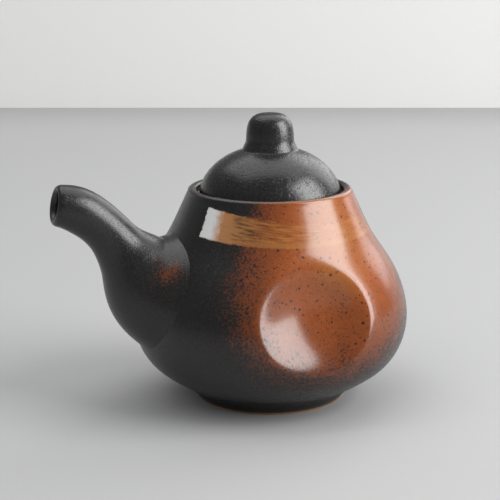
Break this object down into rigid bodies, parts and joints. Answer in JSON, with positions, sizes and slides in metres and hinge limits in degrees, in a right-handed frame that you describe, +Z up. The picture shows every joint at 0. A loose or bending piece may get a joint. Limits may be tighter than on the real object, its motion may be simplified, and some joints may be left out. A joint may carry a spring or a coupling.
{
  "type": "lidded stoneware sake server",
  "caption": "Pear-shaped stoneware sake server with a curved pouring spout, a finger dimple on each side, a foot ring and a knobbed drop-in lid.",
  "frame": {"origin": "centre of the foot ring's resting plane", "axes": "+Z up along the pot's turning axis, -X towards the spout's mouth, -Y and +Y towards the two finger dimples"},
  "size_m": [0.1344, 0.0994, 0.108],
  "materials": {
    "body_glaze": "satin iron-orange glaze over charcoal, with iron spots",
    "spout_glaze": "matte charcoal glaze",
    "lid_glaze": "matte charcoal glaze with a fine speckle",
    "foot_clay": "charcoal glaze over a bare clay resting edge",
    "lid_clay": "bare fired stoneware"
  },
  "bodies": {
    "pot": {"vessel_body": "body_glaze", "spout": "spout_glaze", "foot_ring": "foot_clay"},
    "lid": {"lid_dome": "lid_glaze", "lid_collar": "lid_clay", "lid_knob": "lid_glaze"}
  },
  "joints": [
    {"name": "lid_lift", "type": "slide", "parent": "pot", "child": "lid", "axis": [0, 0, 1], "range_m": [0, 0.04]}
  ]
}
